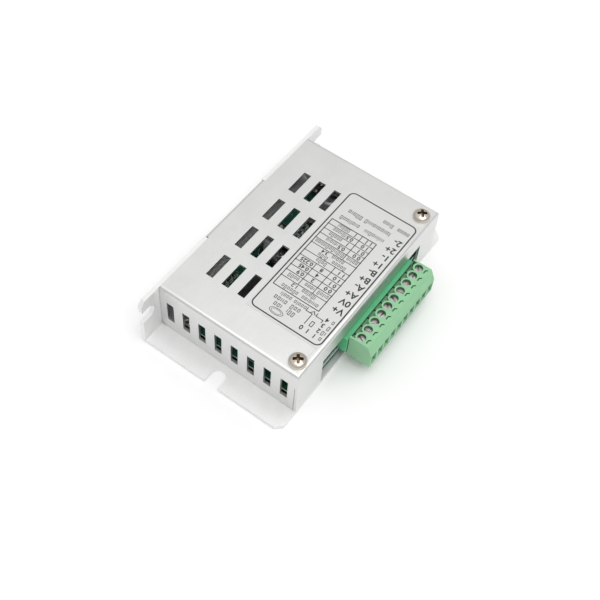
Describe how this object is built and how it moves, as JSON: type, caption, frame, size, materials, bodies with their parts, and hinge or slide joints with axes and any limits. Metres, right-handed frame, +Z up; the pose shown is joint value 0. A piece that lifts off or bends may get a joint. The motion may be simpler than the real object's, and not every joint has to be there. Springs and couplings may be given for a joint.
{
  "type": "stepper driver module",
  "caption": "Compact stepper motor driver: vented folded cover on an L-shaped aluminium bracket with mounting notches and a pluggable screw-terminal row along one side.",
  "frame": {"origin": "on the bracket's bottom face, under the middle of the cover", "axes": "+X along the module, +Z up out of the cover's top, -Y towards the terminals, +Y towards the bracket's side wall"},
  "size_m": [0.0984, 0.0667, 0.0244],
  "materials": {
    "bracket_metal": "fine matte anodised",
    "cover_metal": "fine matte anodised",
    "label_film": "satin printed film",
    "board_laminate": "dark green solder mask on glass laminate",
    "standoff_metal": "plated",
    "screw_metal": "bright nickel",
    "post_brass": "turned",
    "header_plastic": "moulded satin",
    "plug_plastic": "moulded satin",
    "tinned_metal": "tinned",
    "clamp_metal": "zinc plated",
    "cage_metal": "nickelled brass",
    "black_plastic": "moulded",
    "slider_plastic": "moulded",
    "lamp_resin": "clear tinted resin",
    "capacitor_sleeve": "shrink sleeve",
    "chip_resin": "moulded resin",
    "pad_rubber": "soft thermal pad",
    "chip_ceramic": "fired ceramic chip",
    "crystal_can": "drawn can"
  },
  "bodies": {
    "module": {"base_bracket": "bracket_metal", "cover": "cover_metal", "label": "label_film", "circuit_board": "board_laminate", "board_standoffs": "standoff_metal", "board_screws": "screw_metal", "cover_posts": "post_brass", "cover_screws": "screw_metal", "header_housing": "header_plastic", "header_pins": "tinned_metal", "dip_switch_body": "black_plastic", "dip_switch_pins": "tinned_metal", "power_lamp": "lamp_resin", "power_lamp_leads": "tinned_metal", "bulk_capacitors": "capacitor_sleeve", "small_capacitors": "capacitor_sleeve", "capacitor_leads": "tinned_metal", "logic_chip": "chip_resin", "logic_chip_leads": "tinned_metal", "optocouplers": "chip_resin", "optocoupler_leads": "tinned_metal", "driver_chip": "chip_resin", "thermal_pad": "pad_rubber", "voltage_regulator": "chip_resin", "sense_resistors": "chip_ceramic", "chip_resistors": "chip_ceramic", "ceramic_capacitors": "chip_ceramic", "supply_diode": "chip_resin", "crystal": "crystal_can"},
    "plug": {"plug_housing": "plug_plastic", "plug_contacts": "tinned_metal"},
    "clamp_screw_1": {"clamp_screw_1": "clamp_metal"},
    "clamp_screw_2": {"clamp_screw_2": "clamp_metal"},
    "clamp_screw_3": {"clamp_screw_3": "clamp_metal"},
    "clamp_screw_4": {"clamp_screw_4": "clamp_metal"},
    "clamp_screw_5": {"clamp_screw_5": "clamp_metal"},
    "clamp_screw_6": {"clamp_screw_6": "clamp_metal"},
    "clamp_screw_7": {"clamp_screw_7": "clamp_metal"},
    "clamp_screw_8": {"clamp_screw_8": "clamp_metal"},
    "clamp_screw_9": {"clamp_screw_9": "clamp_metal"},
    "clamp_screw_10": {"clamp_screw_10": "clamp_metal"},
    "wire_cage_1": {"wire_cage_1": "cage_metal"},
    "wire_cage_2": {"wire_cage_2": "cage_metal"},
    "wire_cage_3": {"wire_cage_3": "cage_metal"},
    "wire_cage_4": {"wire_cage_4": "cage_metal"},
    "wire_cage_5": {"wire_cage_5": "cage_metal"},
    "wire_cage_6": {"wire_cage_6": "cage_metal"},
    "wire_cage_7": {"wire_cage_7": "cage_metal"},
    "wire_cage_8": {"wire_cage_8": "cage_metal"},
    "wire_cage_9": {"wire_cage_9": "cage_metal"},
    "wire_cage_10": {"wire_cage_10": "cage_metal"},
    "dip_slider_1": {"dip_slider_1": "slider_plastic"},
    "dip_slider_2": {"dip_slider_2": "slider_plastic"},
    "dip_slider_3": {"dip_slider_3": "slider_plastic"},
    "dip_slider_4": {"dip_slider_4": "slider_plastic"}
  },
  "joints": [
    {"name": "plug_pull", "type": "slide", "parent": "module", "child": "plug", "axis": [0, -1, 0], "range_m": [0, 0.012]},
    {"name": "screw_turn_1", "type": "hinge", "parent": "plug", "child": "clamp_screw_1", "pos_m": [-0.01329, -0.0324, 0.014], "axis": [0, 0, -1], "range_deg": [0, 1800]},
    {"name": "screw_turn_2", "type": "hinge", "parent": "plug", "child": "clamp_screw_2", "pos_m": [-0.00949, -0.0324, 0.014], "axis": [0, 0, -1], "range_deg": [0, 1800]},
    {"name": "screw_turn_3", "type": "hinge", "parent": "plug", "child": "clamp_screw_3", "pos_m": [-0.00568, -0.0324, 0.014], "axis": [0, 0, -1], "range_deg": [0, 1800]},
    {"name": "screw_turn_4", "type": "hinge", "parent": "plug", "child": "clamp_screw_4", "pos_m": [-0.00186, -0.0324, 0.014], "axis": [0, 0, -1], "range_deg": [0, 1800]},
    {"name": "screw_turn_5", "type": "hinge", "parent": "plug", "child": "clamp_screw_5", "pos_m": [0.00194, -0.0324, 0.014], "axis": [0, 0, -1], "range_deg": [0, 1800]},
    {"name": "screw_turn_6", "type": "hinge", "parent": "plug", "child": "clamp_screw_6", "pos_m": [0.00575, -0.0324, 0.014], "axis": [0, 0, -1], "range_deg": [0, 1800]},
    {"name": "screw_turn_7", "type": "hinge", "parent": "plug", "child": "clamp_screw_7", "pos_m": [0.00957, -0.0324, 0.014], "axis": [0, 0, -1], "range_deg": [0, 1800]},
    {"name": "screw_turn_8", "type": "hinge", "parent": "plug", "child": "clamp_screw_8", "pos_m": [0.01337, -0.0324, 0.014], "axis": [0, 0, -1], "range_deg": [0, 1800]},
    {"name": "screw_turn_9", "type": "hinge", "parent": "plug", "child": "clamp_screw_9", "pos_m": [0.01718, -0.0324, 0.014], "axis": [0, 0, -1], "range_deg": [0, 1800]},
    {"name": "screw_turn_10", "type": "hinge", "parent": "plug", "child": "clamp_screw_10", "pos_m": [0.02099, -0.0324, 0.014], "axis": [0, 0, -1], "range_deg": [0, 1800]},
    {"name": "cage_lift_1", "type": "slide", "parent": "plug", "child": "wire_cage_1", "axis": [0, 0, 1], "range_m": [0, 0.002]},
    {"name": "cage_lift_2", "type": "slide", "parent": "plug", "child": "wire_cage_2", "axis": [0, 0, 1], "range_m": [0, 0.002]},
    {"name": "cage_lift_3", "type": "slide", "parent": "plug", "child": "wire_cage_3", "axis": [0, 0, 1], "range_m": [0, 0.002]},
    {"name": "cage_lift_4", "type": "slide", "parent": "plug", "child": "wire_cage_4", "axis": [0, 0, 1], "range_m": [0, 0.002]},
    {"name": "cage_lift_5", "type": "slide", "parent": "plug", "child": "wire_cage_5", "axis": [0, 0, 1], "range_m": [0, 0.002]},
    {"name": "cage_lift_6", "type": "slide", "parent": "plug", "child": "wire_cage_6", "axis": [0, 0, 1], "range_m": [0, 0.002]},
    {"name": "cage_lift_7", "type": "slide", "parent": "plug", "child": "wire_cage_7", "axis": [0, 0, 1], "range_m": [0, 0.002]},
    {"name": "cage_lift_8", "type": "slide", "parent": "plug", "child": "wire_cage_8", "axis": [0, 0, 1], "range_m": [0, 0.002]},
    {"name": "cage_lift_9", "type": "slide", "parent": "plug", "child": "wire_cage_9", "axis": [0, 0, 1], "range_m": [0, 0.002]},
    {"name": "cage_lift_10", "type": "slide", "parent": "plug", "child": "wire_cage_10", "axis": [0, 0, 1], "range_m": [0, 0.002]},
    {"name": "switch_1", "type": "slide", "parent": "module", "child": "dip_slider_1", "axis": [0, 0, 1], "range_m": [0, 0.002]},
    {"name": "switch_2", "type": "slide", "parent": "module", "child": "dip_slider_2", "axis": [0, 0, 1], "range_m": [0, 0.002]},
    {"name": "switch_3", "type": "slide", "parent": "module", "child": "dip_slider_3", "axis": [0, 0, 1], "range_m": [0, 0.002]},
    {"name": "switch_4", "type": "slide", "parent": "module", "child": "dip_slider_4", "axis": [0, 0, 1], "range_m": [0, 0.002]}
  ],
  "couplings": [
    {"joint": "screw_turn_1", "follows": "cage_lift_1", "rad_per_m": 15708},
    {"joint": "screw_turn_2", "follows": "cage_lift_2", "rad_per_m": 15708},
    {"joint": "screw_turn_3", "follows": "cage_lift_3", "rad_per_m": 15708},
    {"joint": "screw_turn_4", "follows": "cage_lift_4", "rad_per_m": 15708},
    {"joint": "screw_turn_5", "follows": "cage_lift_5", "rad_per_m": 15708},
    {"joint": "screw_turn_6", "follows": "cage_lift_6", "rad_per_m": 15708},
    {"joint": "screw_turn_7", "follows": "cage_lift_7", "rad_per_m": 15708},
    {"joint": "screw_turn_8", "follows": "cage_lift_8", "rad_per_m": 15708},
    {"joint": "screw_turn_9", "follows": "cage_lift_9", "rad_per_m": 15708},
    {"joint": "screw_turn_10", "follows": "cage_lift_10", "rad_per_m": 15708}
  ]
}
